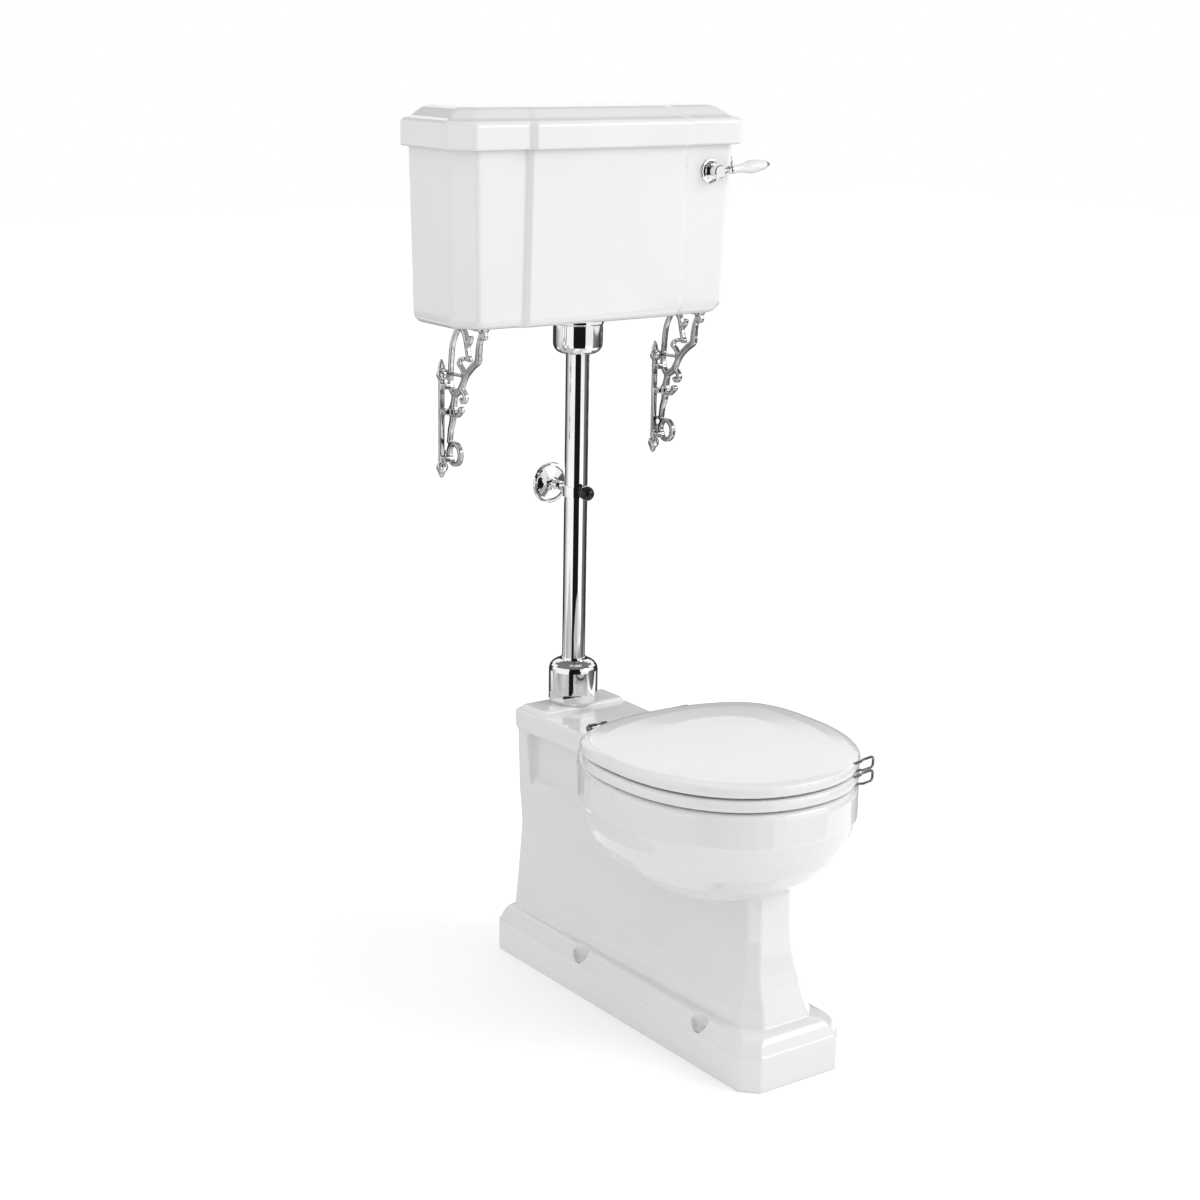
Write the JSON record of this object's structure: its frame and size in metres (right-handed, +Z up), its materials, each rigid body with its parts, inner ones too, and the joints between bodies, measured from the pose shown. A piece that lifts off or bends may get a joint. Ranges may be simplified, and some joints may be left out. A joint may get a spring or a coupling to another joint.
{
  "type": "medium level toilet",
  "caption": "Traditional medium level toilet: ceramic pan with seat and lid, chrome flush pipe with wall clip, and a lidded cistern with flush lever on scrolled wall brackets",
  "frame": {"origin": "on the floor, on the centre line of the pan, in the plane of the wall behind it", "axes": "+Z up, +Y into the wall, so the bowl's front looks toward -Y; +X is the side with the flush lever"},
  "size_m": [0.5486, 0.638, 1.31],
  "materials": {
    "glaze": "gloss white glaze",
    "board": "gloss white",
    "chrome": "polished",
    "rubber": "matt",
    "plastic": "moulded",
    "brass": "cast and turned",
    "steel": "plain"
  },
  "bodies": {
    "root": {"pan": "glaze", "flush_cone": "rubber", "bell_nut": "chrome", "pipe_bell": "chrome", "flush_pipe": "chrome", "coupling_nut": "chrome", "coupling_seal": "rubber", "coupling_flange": "chrome", "cistern": "glaze", "siphon_washer": "rubber", "siphon_body": "plastic", "fill_valve": "brass", "fill_washer": "rubber", "fill_nut": "brass", "fill_tube": "plastic", "lever_bush": "chrome", "lever_rosette": "chrome", "lever_nut": "chrome", "left_bracket": "chrome", "right_bracket": "chrome", "bracket_screws": "chrome", "tank_screws": "steel", "clip_plate": "chrome", "clip_stem": "chrome", "clip_band": "chrome", "clip_ball": "chrome", "hinge_posts": "chrome", "hinge_pins": "chrome", "hinge_nuts": "steel"},
    "seat": {"seat_ring": "board", "seat_arms": "chrome", "seat_buffers": "rubber", "seat_handle": "chrome"},
    "lid": {"seat_lid": "board", "lid_arms": "chrome", "lid_buffers": "rubber", "lid_handle": "chrome"},
    "lever": {"lever_spindle": "steel", "lever_hub": "chrome", "lever_grip": "glaze", "lever_tip": "chrome", "lever_arm": "brass"},
    "lift": {"lift_rod": "brass", "lift_hook": "brass", "siphon_plate": "plastic", "siphon_flap": "rubber"},
    "float": {"float_arm_rod": "brass", "float_ball": "plastic", "float_nut": "brass"},
    "cistern_cover": {"cistern_lid": "glaze"}
  },
  "joints": [
    {"name": "seat_hinge", "type": "hinge", "parent": "root", "child": "seat", "pos_m": [0, -0.24, 0.4275], "axis": [-1, 0, 0], "range_deg": [0, 95]},
    {"name": "lid_hinge", "type": "hinge", "parent": "seat", "child": "lid", "pos_m": [0, -0.24, 0.4275], "axis": [1, 0, 0], "range_deg": [-95, 0]},
    {"name": "flush_lever", "type": "hinge", "parent": "root", "child": "lever", "pos_m": [0.186, -0.1563, 1.215], "axis": [0, 1, 0], "range_deg": [0, 25]},
    {"name": "siphon_lift", "type": "slide", "parent": "root", "child": "lift", "axis": [0, 0, 1], "range_m": [0, 0.0548]},
    {"name": "float_swing", "type": "hinge", "parent": "root", "child": "float", "pos_m": [0.18, -0.058, 1.222], "axis": [0, 1, 0], "range_deg": [0, 18]},
    {"name": "cover_lift", "type": "slide", "parent": "root", "child": "cistern_cover", "axis": [0, 0, 1], "range_m": [0, 0.12]}
  ],
  "couplings": [
    {"joint": "siphon_lift", "follows": "flush_lever", "m_per_rad": 0.1255}
  ]
}
